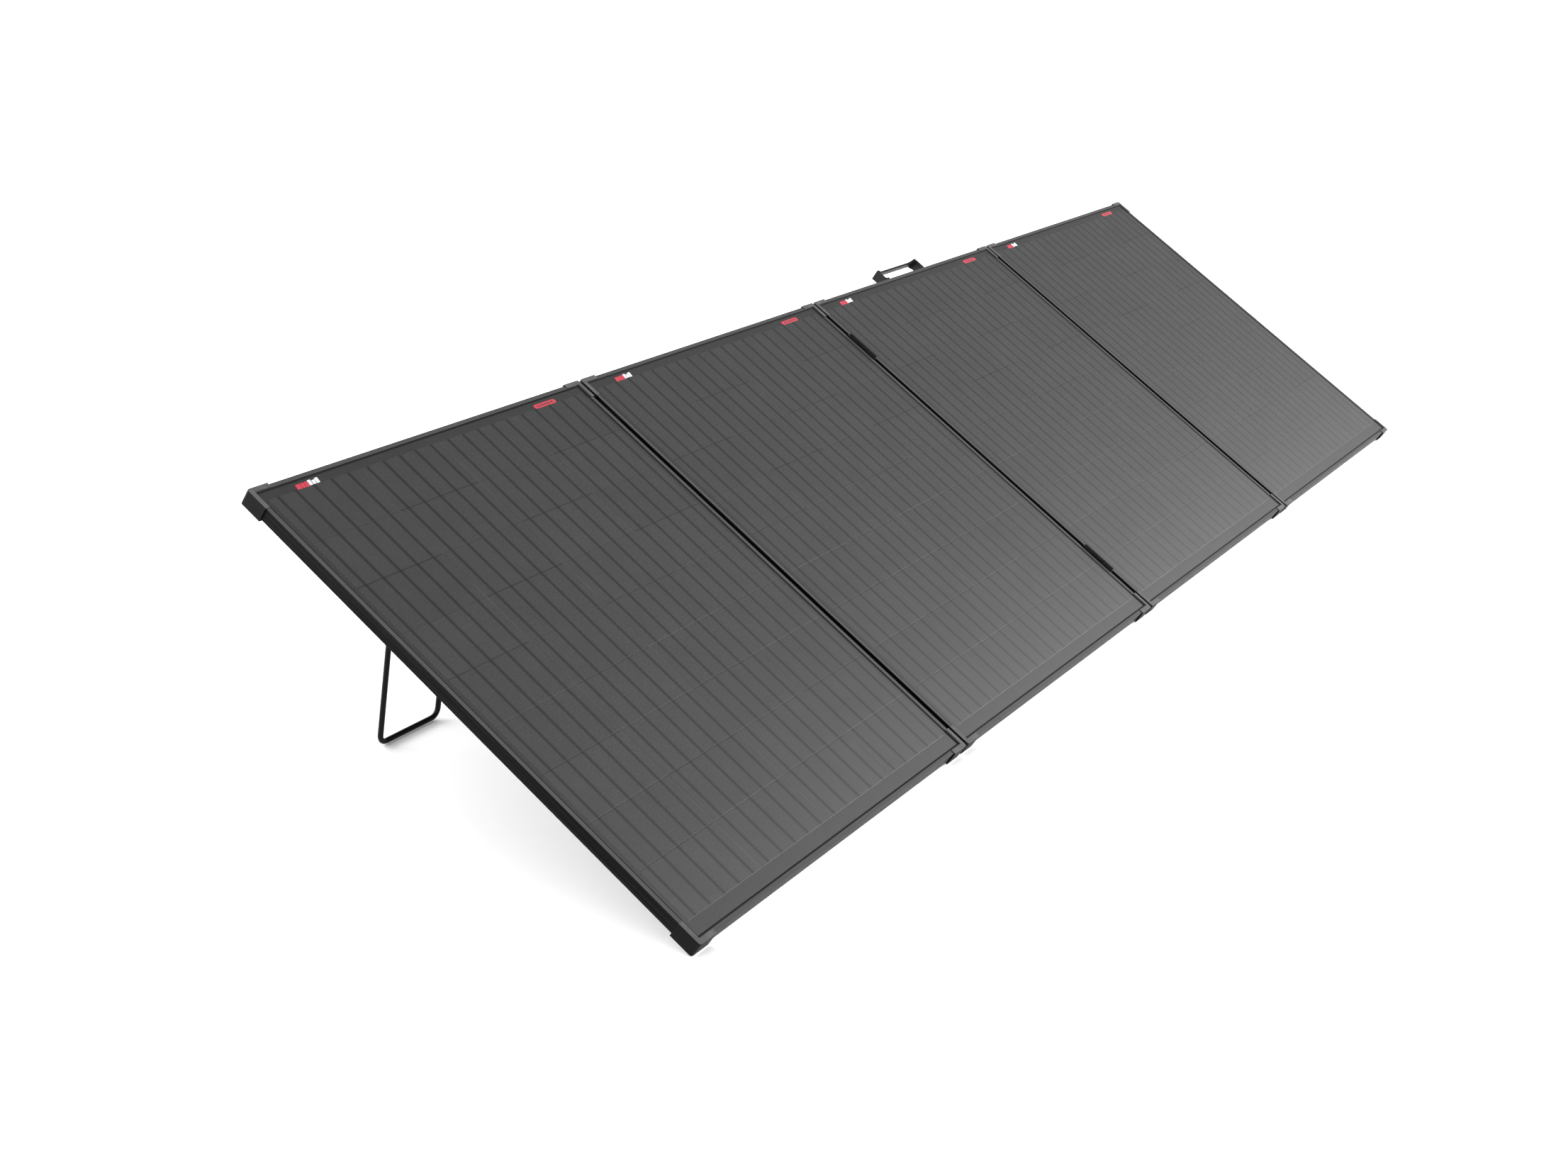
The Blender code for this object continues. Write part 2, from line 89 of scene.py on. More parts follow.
# ------------------------------------------------------------- node helpers
class Nodes:
    """Short way to lay out a material's node tree."""

    def __init__(self, name):
        self.mat = bpy.data.materials.new(name)
        self.mat.use_nodes = True
        self.tree = self.mat.node_tree
        self.tree.nodes.clear()
        out = self.tree.nodes.new("ShaderNodeOutputMaterial")
        self.shader = self.tree.nodes.new("ShaderNodeBsdfPrincipled")
        self.link(self.shader.outputs[0], out.inputs["Surface"])
        coords = self.tree.nodes.new("ShaderNodeTexCoord")
        self.rest = coords.outputs["Object"]
        turn = Matrix.Rotation(-TILT, 3, 'X')
        flat = self.tree.nodes.new("ShaderNodeMapping")
        flat.inputs["Scale"].default_value = (1000.0, 1000.0, 1000.0)
        flat.inputs["Rotation"].default_value = (-TILT, 0.0, 0.0)
        flat.inputs["Location"].default_value = -(turn @ (ORIGIN / MM))
        self.link(self.rest, flat.inputs["Vector"])
        self.flat = flat.outputs[0]
        split = self.tree.nodes.new("ShaderNodeSeparateXYZ")
        self.link(self.flat, split.inputs[0])
        self.x, self.v, self.n = split.outputs

    def link(self, a, b):
        self.tree.links.new(a, b)

    def put(self, value, socket):
        if isinstance(value, bpy.types.NodeSocket):
            self.link(value, socket)
        else:
            socket.default_value = value

    def set(self, **values):
        for name, value in values.items():
            self.put(value, self.shader.inputs[name.replace("_", " ")])

    def math(self, op, a, b=0.0, c=0.0, clamp=False):
        node = self.tree.nodes.new("ShaderNodeMath")
        node.operation = op
        node.use_clamp = clamp
        for value, socket in zip((a, b, c), node.inputs):
            self.put(value, socket)
        return node.outputs[0]

    def ramp(self, value, low, high, to_low=0.0, to_high=1.0, smooth=True):
        node = self.tree.nodes.new("ShaderNodeMapRange")
        node.interpolation_type = 'SMOOTHSTEP' if smooth else 'LINEAR'
        for v, name in ((value, "Value"), (low, "From Min"),
                        (high, "From Max"), (to_low, "To Min"),
                        (to_high, "To Max")):
            self.put(v, node.inputs[name])
        return node.outputs[0]

    def scaled(self, vector, by):
        node = self.tree.nodes.new("ShaderNodeVectorMath")
        node.operation = 'MULTIPLY'
        self.link(vector, node.inputs[0])
        node.inputs[1].default_value = by
        return node.outputs[0]

    def noise(self, vector, scale=1.0, detail=2.0, rough=0.5, distort=0.0):
        node = self.tree.nodes.new("ShaderNodeTexNoise")
        self.link(vector, node.inputs["Vector"])
        node.inputs["Scale"].default_value = scale
        node.inputs["Detail"].default_value = detail
        node.inputs["Roughness"].default_value = rough
        node.inputs["Distortion"].default_value = distort
        return node.outputs["Fac"]

    def cells(self, vector, scale=1.0, output="Distance"):
        node = self.tree.nodes.new("ShaderNodeTexVoronoi")
        self.link(vector, node.inputs["Vector"])
        node.inputs["Scale"].default_value = scale
        return node.outputs[output]

    def mix(self, share, a, b):
        node = self.tree.nodes.new("ShaderNodeMix")
        node.data_type = 'RGBA'
        self.put(share, node.inputs[0])
        self.put(a, node.inputs[6])
        self.put(b, node.inputs[7])
        return node.outputs[2]

    def grey(self, value, tint=(1.0, 1.0, 1.0)):
        node = self.tree.nodes.new("ShaderNodeCombineXYZ")
        for share, socket in zip(tint, node.inputs):
            self.put(self.math('MULTIPLY', value, share), socket)
        return node.outputs[0]

    def bump(self, height, distance, strength=1.0, after=None):
        node = self.tree.nodes.new("ShaderNodeBump")
        node.inputs["Strength"].default_value = strength
        node.inputs["Distance"].default_value = distance * MM
        self.put(height, node.inputs["Height"])
        if after is not None:
            self.link(after, node.inputs["Normal"])
        self.link(node.outputs[0], self.shader.inputs["Normal"])
        return node.outputs[0]


# ------------------------------------------------------------- cell layout
COLS, ROWS = 4, 9
CELL_W, CELL_H = 156.75, 78.4          # half-cut cell
COL_PITCH, ROW_PITCH = 160.2, 80.0
FIRST_COL, FIRST_ROW = 19.8, 23.0      # from the left edge, from the top edge
BUSBARS = 5
BUS_PITCH = CELL_W / BUSBARS


def face_material():
    """Matt textured front sheet over dark half-cut cells."""
    m = Nodes("etfe_front")
    px = m.math('FLOORED_MODULO', m.x, PITCH)
    down = m.math('SUBTRACT', HEIGHT, m.v)
    cx = m.math('SUBTRACT', px, FIRST_COL)
    ry = m.math('SUBTRACT', down, FIRST_ROW)
    u = m.math('FLOORED_MODULO', cx, COL_PITCH)
    w = m.math('FLOORED_MODULO', ry, ROW_PITCH)
    col = m.math('FLOOR', m.math('DIVIDE', cx, COL_PITCH))
    row = m.math('FLOOR', m.math('DIVIDE', ry, ROW_PITCH))

    inside_x = m.math('MULTIPLY', m.ramp(cx, -0.4, 0.4),
                      m.ramp(cx, COLS * COL_PITCH - 3.8, COLS * COL_PITCH - 3.0,
                             1.0, 0.0))
    inside_y = m.math('MULTIPLY', m.ramp(ry, -0.4, 0.4),
                      m.ramp(ry, ROWS * ROW_PITCH - 2.0, ROWS * ROW_PITCH - 1.2,
                             1.0, 0.0))
    field = m.math('MULTIPLY', inside_x, inside_y)

    # Ribbons: five to a cell, running up the slope through every row.
    off_bus = m.math('ABSOLUTE', m.math('SUBTRACT', m.math(
        'FLOORED_MODULO', u, BUS_PITCH), BUS_PITCH / 2))
    bus = m.math('MULTIPLY', m.ramp(off_bus, 0.4, 4.2, 1.0, 0.0),
                 m.ramp(u, CELL_W - 0.5, CELL_W + 0.5, 1.0, 0.0))
    bus = m.math('MULTIPLY', bus, field)

    # Gaps: between the rows, and between the columns.
    off_row = m.math('ABSOLUTE', m.math('SUBTRACT', w, CELL_H + 0.8))
    gap_row = m.math('MULTIPLY', m.ramp(off_row, 0.5, 1.5, 1.0, 0.0),
                     m.ramp(u, CELL_W - 0.3, CELL_W + 0.3, 1.0, 0.0))
    # Every second gap of a column carries the turn of the string, so it
    # shows darker; neighbouring columns are out of step.
    odd = m.math('FLOORED_MODULO', m.math('ADD', row, col), 2.0)
    gap_row = m.math('MULTIPLY', gap_row, m.ramp(odd, 0.4, 0.6, 0.45, 1.0))
    gap_row = m.math('MULTIPLY', gap_row, field)
    off_col = m.math('ABSOLUTE', m.math(
        'SUBTRACT', u, (CELL_W + COL_PITCH) / 2))
    gap_col = m.math('MULTIPLY', m.ramp(off_col, 1.0, 1.9, 1.0, 0.0), field)

    # Fingers across the cell, softened by the sheet above them.
    wave = m.math('SINE', m.math('MULTIPLY', ry, 2 * math.pi / 1.85))
    cell = m.math('MULTIPLY', m.math('SUBTRACT', 1.0, gap_col), field)
    fingers = m.math('MULTIPLY', wave, cell)
    patch = m.noise(m.flat, 0.045, 2.0)
    fingers = m.math('MULTIPLY', fingers, m.ramp(patch, 0.35, 0.65, 0.25, 1.0))

    # Linen of the embossed sheet, and slow unevenness of the lamination.
    linen = m.noise(m.scaled(m.flat, (1.0, 0.55, 1.0)), 0.9, 3.0, 0.6)
    mottle = m.noise(m.flat, 0.018, 3.0, 0.55)
    streak = m.noise(m.scaled(m.flat, (0.35, 0.012, 1.0)), 1.0, 2.0)
    tone = m.noise(m.grey(m.math('ADD', col, m.math('MULTIPLY', row, 7.3)),
                          (1.0, 0.37, 0.11)), 1.7, 0.0)

    value = m.math('ADD', 1.0, m.math('MULTIPLY', fingers, 0.10))
    value = m.math('ADD', value, m.ramp(linen, 0.25, 0.75, -0.34, 0.34,
                                        smooth=False))
    value = m.math('ADD', value, m.ramp(mottle, 0.3, 0.7, -0.06, 0.06,
                                        smooth=False))
    value = m.math('ADD', value, m.math('MULTIPLY', m.ramp(
        tone, 0.3, 0.7, -0.035, 0.035, smooth=False), cell))
    value = m.math('MULTIPLY', value, m.math(
        'SUBTRACT', 1.0, m.math('MULTIPLY', bus, 0.68)))
    margin = m.math('MULTIPLY', m.math('SUBTRACT', 1.0, field), 0.30)
    value = m.math('MULTIPLY', value, m.math('SUBTRACT', 1.0, margin))
    value = m.math('MULTIPLY', value, m.math(
        'SUBTRACT', 1.0, m.math('MULTIPLY', gap_row, 0.62)))
    value = m.math('MULTIPLY', value, m.math(
        'ADD', 1.0, m.math('MULTIPLY', gap_col, m.ramp(
            streak, 0.45, 0.62, -0.10, 0.28))))
    m.set(Base_Color=m.grey(m.math('MULTIPLY', value, FACE_GREY),
                            (0.99, 1.0, 1.01)))
    m.set(Roughness=m.ramp(linen, 0.2, 0.8, FACE_ROUGH - 0.06,
                           FACE_ROUGH + 0.08, smooth=False))
    m.shader.inputs["Specular IOR Level"].default_value = FACE_SPEC
    pips = m.cells(m.flat, 1.25)
    weave = m.math('ADD', m.math('MULTIPLY', linen, 0.6),
                   m.math('MULTIPLY', pips, 0.5))
    weave = m.math('ADD', weave, m.math('MULTIPLY', wave, 0.10))
    m.bump(weave, 0.14, 0.8)
    return m.mat


FACE_GREY, FACE_ROUGH, FACE_SPEC = 0.0300, 0.43, 0.27


def backing_material():
    """Black woven back of the laminate; its front is under the front sheet."""
    m = Nodes("laminate_back")
    warp = m.math('SINE', m.math('MULTIPLY', m.x, 2 * math.pi / 1.6))
    weft = m.math('SINE', m.math('MULTIPLY', m.v, 2 * math.pi / 1.6))
    weave = m.math('MULTIPLY', warp, weft)
    mottle = m.noise(m.flat, 0.02, 3.0)
    px = m.math('FLOORED_MODULO', m.x, PITCH)
    u = m.math('FLOORED_MODULO', m.math('SUBTRACT', px, FIRST_COL), COL_PITCH)
    w = m.math('FLOORED_MODULO', m.math(
        'SUBTRACT', m.math('SUBTRACT', HEIGHT, m.v), FIRST_ROW), ROW_PITCH)
    edge = m.math('MAXIMUM', m.ramp(u, CELL_W, CELL_W + 0.8),
                  m.ramp(w, CELL_H, CELL_H + 0.6))
    value = m.math('ADD', 0.034, m.math('MULTIPLY', weave, 0.004))
    value = m.math('ADD', value, m.ramp(mottle, 0.3, 0.7, -0.004, 0.004))
    value = m.math('ADD', value, m.math('MULTIPLY', edge, 0.004))
    m.set(Base_Color=m.grey(value, (1.0, 1.0, 1.03)))
    m.set(Roughness=m.ramp(mottle, 0.3, 0.7, 0.48, 0.60))
    m.shader.inputs["Specular IOR Level"].default_value = 0.35
    m.bump(weave, 0.05, 0.6)
    return m.mat


def anodised_material(name, along, lip_painted_light):
    """Black anodised extrusion; die lines run along it ('x' or 'v')."""
    m = Nodes(name)
    fine = (0.012, 3.0, 3.0) if along == 'x' else (3.0, 0.012, 3.0)
    broad = (0.004, 0.35, 0.35) if along == 'x' else (0.35, 0.004, 0.35)
    die = m.noise(m.scaled(m.flat, fine), 1.0, 3.0, 0.65)
    band = m.noise(m.scaled(m.flat, broad), 1.0, 2.0)
    dust = m.noise(m.flat, 0.10, 4.0, 0.7)
    scuff = m.noise(m.scaled(m.flat, (0.09, 0.05, 0.4)), 1.0, 6.0, 0.75, 1.2)
    scuff = m.ramp(scuff, 0.66, 0.74)
    value = m.math('ADD', FRAME_GREY, m.ramp(
        die, 0.3, 0.7, -0.003, 0.003, smooth=False))
    value = m.math('ADD', value, m.ramp(band, 0.3, 0.7, -0.003, 0.003))
    value = m.math('ADD', value, m.math('MULTIPLY', scuff, 0.012))
    # painted light: the front lip is painted lighter than the sides, standing in
    # for the light that falls on it
    lip = m.ramp(m.n, -1.95, -1.55)
    value = m.math('ADD', value, m.math('MULTIPLY', lip, m.ramp(
        die, 0.3, 0.7, lip_painted_light - 0.012, lip_painted_light + 0.012, smooth=False)))
    # a little lighter at the back edge
    value = m.math('ADD', value, m.ramp(m.n, -19.2, -19.8, 0.0, 0.014))
    m.set(Base_Color=m.grey(value, (1.0, 1.0, 1.02)))
    rough = m.math('ADD', m.ramp(die, 0.3, 0.7, 0.36, 0.46, smooth=False),
                   m.ramp(dust, 0.4, 0.7, 0.0, 0.06))
    m.set(Roughness=rough)
    m.shader.inputs["Specular IOR Level"].default_value = FRAME_SPEC
    m.bump(die, 0.025, 0.5)
    return m.mat


FRAME_GREY, FRAME_SPEC = 0.0035, 0.06


def moulded_material(name, grey, rough, grain=0.45, spec=0.35, depth=0.05,
                     front=0.0):
    """Moulded plastic with a spark-eroded grain and faint flow marks."""
    m = Nodes(name)
    pits = m.cells(m.flat, 1.0 / grain)
    flow = m.noise(m.scaled(m.flat, (0.06, 0.03, 0.06)), 1.0, 3.0, 0.6, 0.6)
    fine = m.noise(m.flat, 2.2, 2.0)
    worn = m.noise(m.flat, 0.22, 5.0, 0.7)
    value = m.math('ADD', grey, m.ramp(flow, 0.3, 0.7, -0.15 * grey,
                                       0.15 * grey))
    value = m.math('ADD', value, m.ramp(worn, 0.60, 0.72, 0.0, 0.35 * grey))
    value = m.math('ADD', value, m.ramp(pits, 0.0, 0.6, -0.10 * grey,
                                        0.08 * grey))
    if front:
        # painted light: the front face of the corner is painted paler, standing
        # in for the light that falls on it; the back is a little lighter too
        value = m.math('ADD', value, m.math('MULTIPLY', m.ramp(
            m.n, -0.55, -0.15), m.ramp(flow, 0.3, 0.7, front * 0.85,
                                       front * 1.15)))
        value = m.math('ADD', value, m.ramp(m.n, -21.6, -22.3, 0.0, 0.014))
    m.set(Base_Color=m.grey(value, (1.0, 1.0, 1.01)))
    m.set(Roughness=m.ramp(worn, 0.3, 0.75, rough + 0.04, rough - 0.05))
    m.shader.inputs["Specular IOR Level"].default_value = spec
    height = m.math('ADD', m.math('MULTIPLY', pits, 0.6),
                    m.math('MULTIPLY', fine, 0.4))
    m.bump(height, depth, 0.7)
    return m.mat


def coated_material(name, grey, rough, spec=0.45):
    """Powder-coated steel: orange peel, with rubbed spots."""
    m = Nodes(name)
    peel = m.noise(m.flat, 0.75, 2.0, 0.45)
    rub = m.noise(m.flat, 0.16, 5.0, 0.72)
    rub = m.ramp(rub, 0.62, 0.72)
    value = m.math('ADD', grey, m.math('MULTIPLY', rub, 0.012))
    value = m.math('ADD', value, m.ramp(peel, 0.3, 0.7, -0.002, 0.002))
    m.set(Base_Color=m.grey(value, (1.0, 1.0, 1.02)))
    m.set(Roughness=m.ramp(peel, 0.25, 0.75, rough - 0.05, rough + 0.07))
    m.shader.inputs["Specular IOR Level"].default_value = spec
    m.bump(peel, 0.04, 0.6)
    return m.mat


def steel_material(name, grey, rough):
    """Plain turned steel."""
    m = Nodes(name)
    lines = m.noise(m.scaled(m.flat, (0.6, 6.0, 0.6)), 1.0, 3.0, 0.6)
    stain = m.noise(m.flat, 0.12, 4.0, 0.65)
    value = m.math('ADD', grey, m.ramp(lines, 0.3, 0.7, -0.05, 0.05))
    value = m.math('SUBTRACT', value, m.ramp(stain, 0.5, 0.7, 0.0, 0.10))
    m.set(Base_Color=m.grey(value, (1.0, 0.99, 0.97)))
    m.set(Roughness=m.ramp(stain, 0.3, 0.7, rough - 0.06, rough + 0.10))
    m.shader.inputs["Metallic"].default_value = 1.0
    m.bump(lines, 0.02, 0.5)
    return m.mat


def print_material(name, colour, dark):
    """Screen-printed ink on the matt sheet."""
    m = Nodes(name)
    speck = m.noise(m.flat, 1.6, 3.0, 0.6)
    worn = m.noise(m.flat, 0.35, 3.0)
    share = m.math('MULTIPLY', m.ramp(speck, 0.35, 0.8), m.ramp(
        worn, 0.3, 0.8, 0.2, 0.7))
    m.set(Base_Color=m.mix(share, (*colour, 1.0), (*dark, 1.0)))
    m.set(Roughness=m.ramp(speck, 0.3, 0.7, 0.45, 0.60))
    m.bump(speck, 0.03, 0.5)
    return m.mat


FACE = face_material()
BACKING = backing_material()
# painted light: the lips of the rails along the row are painted a little darker
# than those up the slope, for how the light falls on them
RAIL_X = anodised_material("anodised_rail_x", 'x', 0.050)
RAIL_V = anodised_material("anodised_rail_v", 'v', 0.056)
# the front faces of the caps carry painted light
CAP = moulded_material("cap_nylon", 0.0045, 0.50, 0.45, 0.07, front=0.075)
BOX = moulded_material("box_abs", 0.018, 0.46, 0.55, 0.35)
HANDLE = moulded_material("handle_nylon", 0.005, 0.34, 0.40, 0.22)
HINGE = coated_material("hinge_black", 0.004, 0.42, 0.10)
# black sealant, which also serves as painted shade in the recess along the lip
SEAL_AND_SHADE = moulded_material("seal_rubber_and_shade", 0.0035, 0.55, 0.6, 0.10, 0.03)
LEG = coated_material("leg_black", 0.003, 0.38, 0.12)
PIN = steel_material("pin_steel", 0.10, 0.38)
SCREW = steel_material("screw_steel", 0.16, 0.38)
RED = print_material("print_red", (0.42, 0.024, 0.046), (0.32, 0.020, 0.038))
WHITE = print_material("print_white", (0.60, 0.60, 0.61), (0.40, 0.40, 0.41))
INK = print_material("print_dark", (0.05, 0.02, 0.02), (0.03, 0.015, 0.015))


# ------------------------------------------------------------- mesh helpers
def shape(name, bm, materials, body, smooth=None):
    """Turns a bmesh, whose places are flat-frame millimetres, into a piece."""
    for vert in bm.verts:
        vert.co = at(*vert.co)
    bmesh.ops.recalc_face_normals(bm, faces=bm.faces)
    mesh = bpy.data.meshes.new(name)
    bm.to_mesh(mesh)
    bm.free()
    for material in materials:
        mesh.materials.append(material)
    if smooth is not None:
        mesh.polygons.foreach_set("use_smooth", [True] * len(mesh.polygons))
        mesh.set_sharp_from_angle(angle=math.radians(smooth))
    ob = bpy.data.objects.new(name, mesh)
    bpy.context.scene.collection.objects.link(ob)
    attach(ob, body)
    return ob


def ring_stack(bm, rings, close=True):
    """Skins a list of equal rings of points."""
    made = [[bm.verts.new(p) for p in ring] for ring in rings]
    if close:
        bm.faces.new(made[0])
        bm.faces.new(made[-1][::-1])
    count = len(made[0])
    for a, b in zip(made, made[1:]):
        for i in range(count):
            j = (i + 1) % count
            bm.faces.new((a[i], b[i], b[j], a[j]))
    return made


def rounded(cx, cv, w, h, r, slant=0.0, steps=4):
    """Outline of a rounded rectangle in x and v; slant shifts its top."""
    points = []
    for sx, sv, start in ((1, 1, 0), (-1, 1, 90), (-1, -1, 180), (1, -1, 270)):
        for k in range(steps + 1):
            a = math.radians(start + 90 * k / steps)
            x = sx * (w / 2 - r) + r * math.cos(a)
            v = sv * (h / 2 - r) + r * math.sin(a)
            points.append((cx + x + slant * v / h, cv + v))
    return points


def plaque(bm, outline, low, high, edge, index=0):
    """A flat plate from n = low to n = high with a rounded-over rim."""
    cx = sum(p[0] for p in outline) / len(outline)
    cv = sum(p[1] for p in outline) / len(outline)
    rise = 1 if high > low else -1

    def pulled(by, n):
        ring = []
        for x, v in outline:
            d = math.hypot(x - cx, v - cv)
            s = max(0.0, 1 - by / d)
            ring.append((cx + (x - cx) * s, cv + (v - cv) * s, n))
        return ring

    before = set(bm.faces)
    ring_stack(bm, [pulled(0, low), pulled(0, high - rise * edge),
                    pulled(edge * 0.3, high - rise * edge * 0.3),
                    pulled(edge, high)])
    for f in set(bm.faces) - before:
        f.material_index = index


def turned(bm, profile, centre, axis, count=24, index=0):
    """Turns a profile of (distance along axis, radius) about an axis."""
    c = Vector(centre)
    a = Vector(axis).normalized()
    side = Vector((1, 0, 0)) if abs(a.x) < 0.9 else Vector((0, 1, 0))
    p = a.cross(side).normalized()
    q = a.cross(p)
    before = set(bm.faces)
    ring_stack(bm, [[c + a * d + (p * math.cos(t) + q * math.sin(t)) * r
                     for t in (2 * math.pi * k / count for k in range(count))]
                    for d, r in profile])
    for f in set(bm.faces) - before:
        f.material_index = index


def cross_screw(bm, centre, out, radius, proud, turn=0.0):
    """A screw head with a cross recess, standing on a face at centre.

    out is the face's outward direction in the flat frame."""
    c = Vector(centre)
    a = Vector(out).normalized()
    side = Vector((1, 0, 0)) if abs(a.x) < 0.9 else Vector((0, 1, 0))
    p = a.cross(side).normalized()
    q = a.cross(p)
    count = 32

    def ring(r, d, recess=0.0, arm=0.0):
        points = []
        for k in range(count):
            t = 2 * math.pi * k / count
            radius_here = r
            if arm:
                # the outline of a cross with rounded arms
                lobe = abs(math.cos(2 * t))
                radius_here = r * (0.36 + 0.64 * lobe ** 3)
            s = t + turn
            points.append(c + a * d + (p * math.cos(s) + q * math.sin(s))
                          * radius_here)
        return points

    rings = [ring(radius, 0.0), ring(radius, proud * 0.35),
             ring(radius * 0.93, proud * 0.75), ring(radius * 0.78, proud),
             ring(radius * 0.62, proud * 1.0), ring(radius * 0.56, proud * 0.98,
                                                    arm=1.0),
             ring(radius * 0.46, proud * 0.98 - radius * 0.34, arm=1.0)]
    ring_stack(bm, rings)


# ------------------------------------------------------------- CAD finishes
def softening():
    """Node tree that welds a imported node's facets before its edges are cut."""
    tree = bpy.data.node_groups.new("soften", "GeometryNodeTree")
    tree.interface.new_socket("Geometry", in_out='INPUT',
                              socket_type="NodeSocketGeometry")
    tree.interface.new_socket("Geometry", in_out='OUTPUT',
                              socket_type="NodeSocketGeometry")
    start = tree.nodes.new("NodeGroupInput")
    end = tree.nodes.new("NodeGroupOutput")
    drop = tree.nodes.new("GeometryNodeRemoveAttribute")
    drop.inputs["Name"].default_value = "custom_normal"
    weld = tree.nodes.new("GeometryNodeMergeByDistance")
    weld.inputs["Distance"].default_value = 0.00002
    smooth = tree.nodes.new("GeometryNodeSetShadeSmooth")
    for a, b in ((start, drop), (drop, weld), (weld, smooth), (smooth, end)):
        tree.links.new(a.outputs[0], b.inputs[0])
    return tree


SOFTEN = softening()


def finish_node(name, material, edge=0.0, segments=2):
    """Gives a CAD node its material and, with modifiers, eased edges."""
    ob = nodes[name]
    ob.data.materials.clear()
    ob.data.materials.append(material)
    weld = ob.modifiers.new("weld", 'NODES')
    weld.node_group = SOFTEN
    flat = ob.modifiers.new("flat", 'DECIMATE')
    flat.decimate_type = 'DISSOLVE'
    flat.angle_limit = math.radians(0.6)
    if edge:
        cut = ob.modifiers.new("edge", 'BEVEL')
        cut.width = edge * MM
        cut.segments = segments
        cut.limit_method = 'ANGLE'
        cut.angle_limit = math.radians(42)
        cut.use_clamp_overlap = True
    even = ob.modifiers.new("even", 'WEIGHTED_NORMAL')
    even.keep_sharp = False
    even.weight = 80


for name in sorted(nodes):
    if name.endswith(("top_rail", "bottom_rail")):
        finish_node(name, RAIL_X, 0.28)
    elif name.endswith(("left_rail", "right_rail")):
        finish_node(name, RAIL_V, 0.28)
    elif name.endswith("_cap"):
        finish_node(name, CAP, 0.35)
    elif name.endswith("_laminate"):
        finish_node(name, BACKING)
    elif name.endswith("_junction_box"):
        finish_node(name, BOX, 0.8, 3)
    elif name.endswith("_bracket"):
        finish_node(name, BOX, 0.5)
    elif name.endswith("_rod"):
        finish_node(name, LEG)
    elif name.endswith("_pin"):
        finish_node(name, PIN, 0.25)
    elif name.endswith("_leaf"):
        finish_node(name, HINGE, 0.18)
    elif name == "handle":
        finish_node(name, HANDLE, 0.8, 3)


# ------------------------------------------------------------- front sheets
def front_sheet(number):
    """The embossed sheet over the cells: pads over the cells, thin ridges
    over the ribbons, and valleys between."""
    low, high = flat_box(f"panel_{number}_laminate")
    left = (number - 1) * PITCH
    base = high[2] + 0.02
    x0, x1 = low[0] + 3.0, high[0] - 3.0
    v0, v1 = low[1] + 3.0, high[1] - 3.0
    plain, pad, ridge = base + 0.08, base + 0.17, base + 0.215

    xs, vs = {x0: None, x1: None}, {v0: None, v1: None}
    for c in range(COLS):
        a = left + FIRST_COL + c * COL_PITCH
        xs[a - 0.7] = xs[a + CELL_W + 0.7] = 'plain'
        xs[a] = xs[a + CELL_W] = 'pad'
        for b in range(BUSBARS):
            mid = a + (b + 0.5) * BUS_PITCH
            xs[mid - 0.8] = xs[mid + 0.8] = 'pad'
            xs[mid] = 'ridge'
    for r in range(ROWS):
        b = HEIGHT - FIRST_ROW - r * ROW_PITCH
        vs[b + 0.5] = vs[b - CELL_H - 0.5] = 'plain'
        vs[b] = vs[b - CELL_H] = 'pad'
    xs = sorted((k, t or 'plain') for k, t in xs.items())
    vs = sorted((k, t or 'plain') for k, t in vs.items())
    first_v, last_v = vs[2][0], vs[-3][0]

    bm = bmesh.new()
    top = []
    for x, kind_x in xs:
        line = []
        for v, kind_v in vs:
            if kind_x == 'plain':
                n = plain
            elif kind_v == 'pad':
                n = ridge if kind_x == 'ridge' else pad
            elif kind_x == 'ridge' and first_v <= v <= last_v:
                n = plain + 0.05
            else:
                n = plain
            line.append(bm.verts.new((x, v, n)))
        top.append(line)
    for a, b in zip(top, top[1:]):
        for i in range(len(vs) - 1):
            bm.faces.new((a[i], b[i], b[i + 1], a[i + 1]))
    rim = ([line[0] for line in top] + top[-1][1:]
           + [line[-1] for line in top[::-1][1:]] + top[0][::-1][1:-1])
    under = [bm.verts.new((p.co.x, p.co.y, base)) for p in rim]
    for i in range(len(rim)):
        j = (i + 1) % len(rim)
        bm.faces.new((rim[i], under[i], under[j], rim[j]))
    bm.faces.new(under)
    return shape(f"panel_{number}_front_sheet", bm, [FACE],
                 f"panel_{number}")


def labels(number):
    """Generic printed blocks in the top corners of the front."""
    left = (number - 1) * PITCH
    base = flat_box(f"panel_{number}_laminate")[1][2] + 0.02
    low, high = base + 0.09, base + 0.25
    bm = bmesh.new()
    top = HEIGHT
    mid = top - 19.2
    x = left + 71.5
    for k, (w, h) in enumerate(((8.2, 8.0), (5.6, 8.0), (6.0, 8.6))):
        plaque(bm, rounded(x + w / 2, mid, w, h, 0.7, 1.6), low, high, 0.05, 0)
        x += w + 0.7
    for k, (w, h) in enumerate(((5.6, 8.6), (5.2, 6.8), (5.8, 8.6))):
        plaque(bm, rounded(x + w / 2, mid + (0.8 if k != 1 else 0.0), w, h,
                           0.7, 1.6), low, high, 0.05, 1)
        x += w + 0.8
    # the pill in the other corner, with a row of dark marks on it
    px, pv = left + 574.5, top - 19.5
    plaque(bm, rounded(px, pv, 49.0, 7.6, 3.6, 0.0, 8), low, high, 0.05, 0)
    for k in range(7):
        w = (3.6, 2.6, 3.6, 3.0, 3.6, 2.6, 3.6)[k]
        plaque(bm, rounded(px - 15.9 + 5.3 * k, pv, w, 3.4, 0.5, 0.8),
               high - 0.01, high + 0.03, 0.01, 2)
    return shape(f"panel_{number}_print", bm, [RED, WHITE, INK],
                 f"panel_{number}")


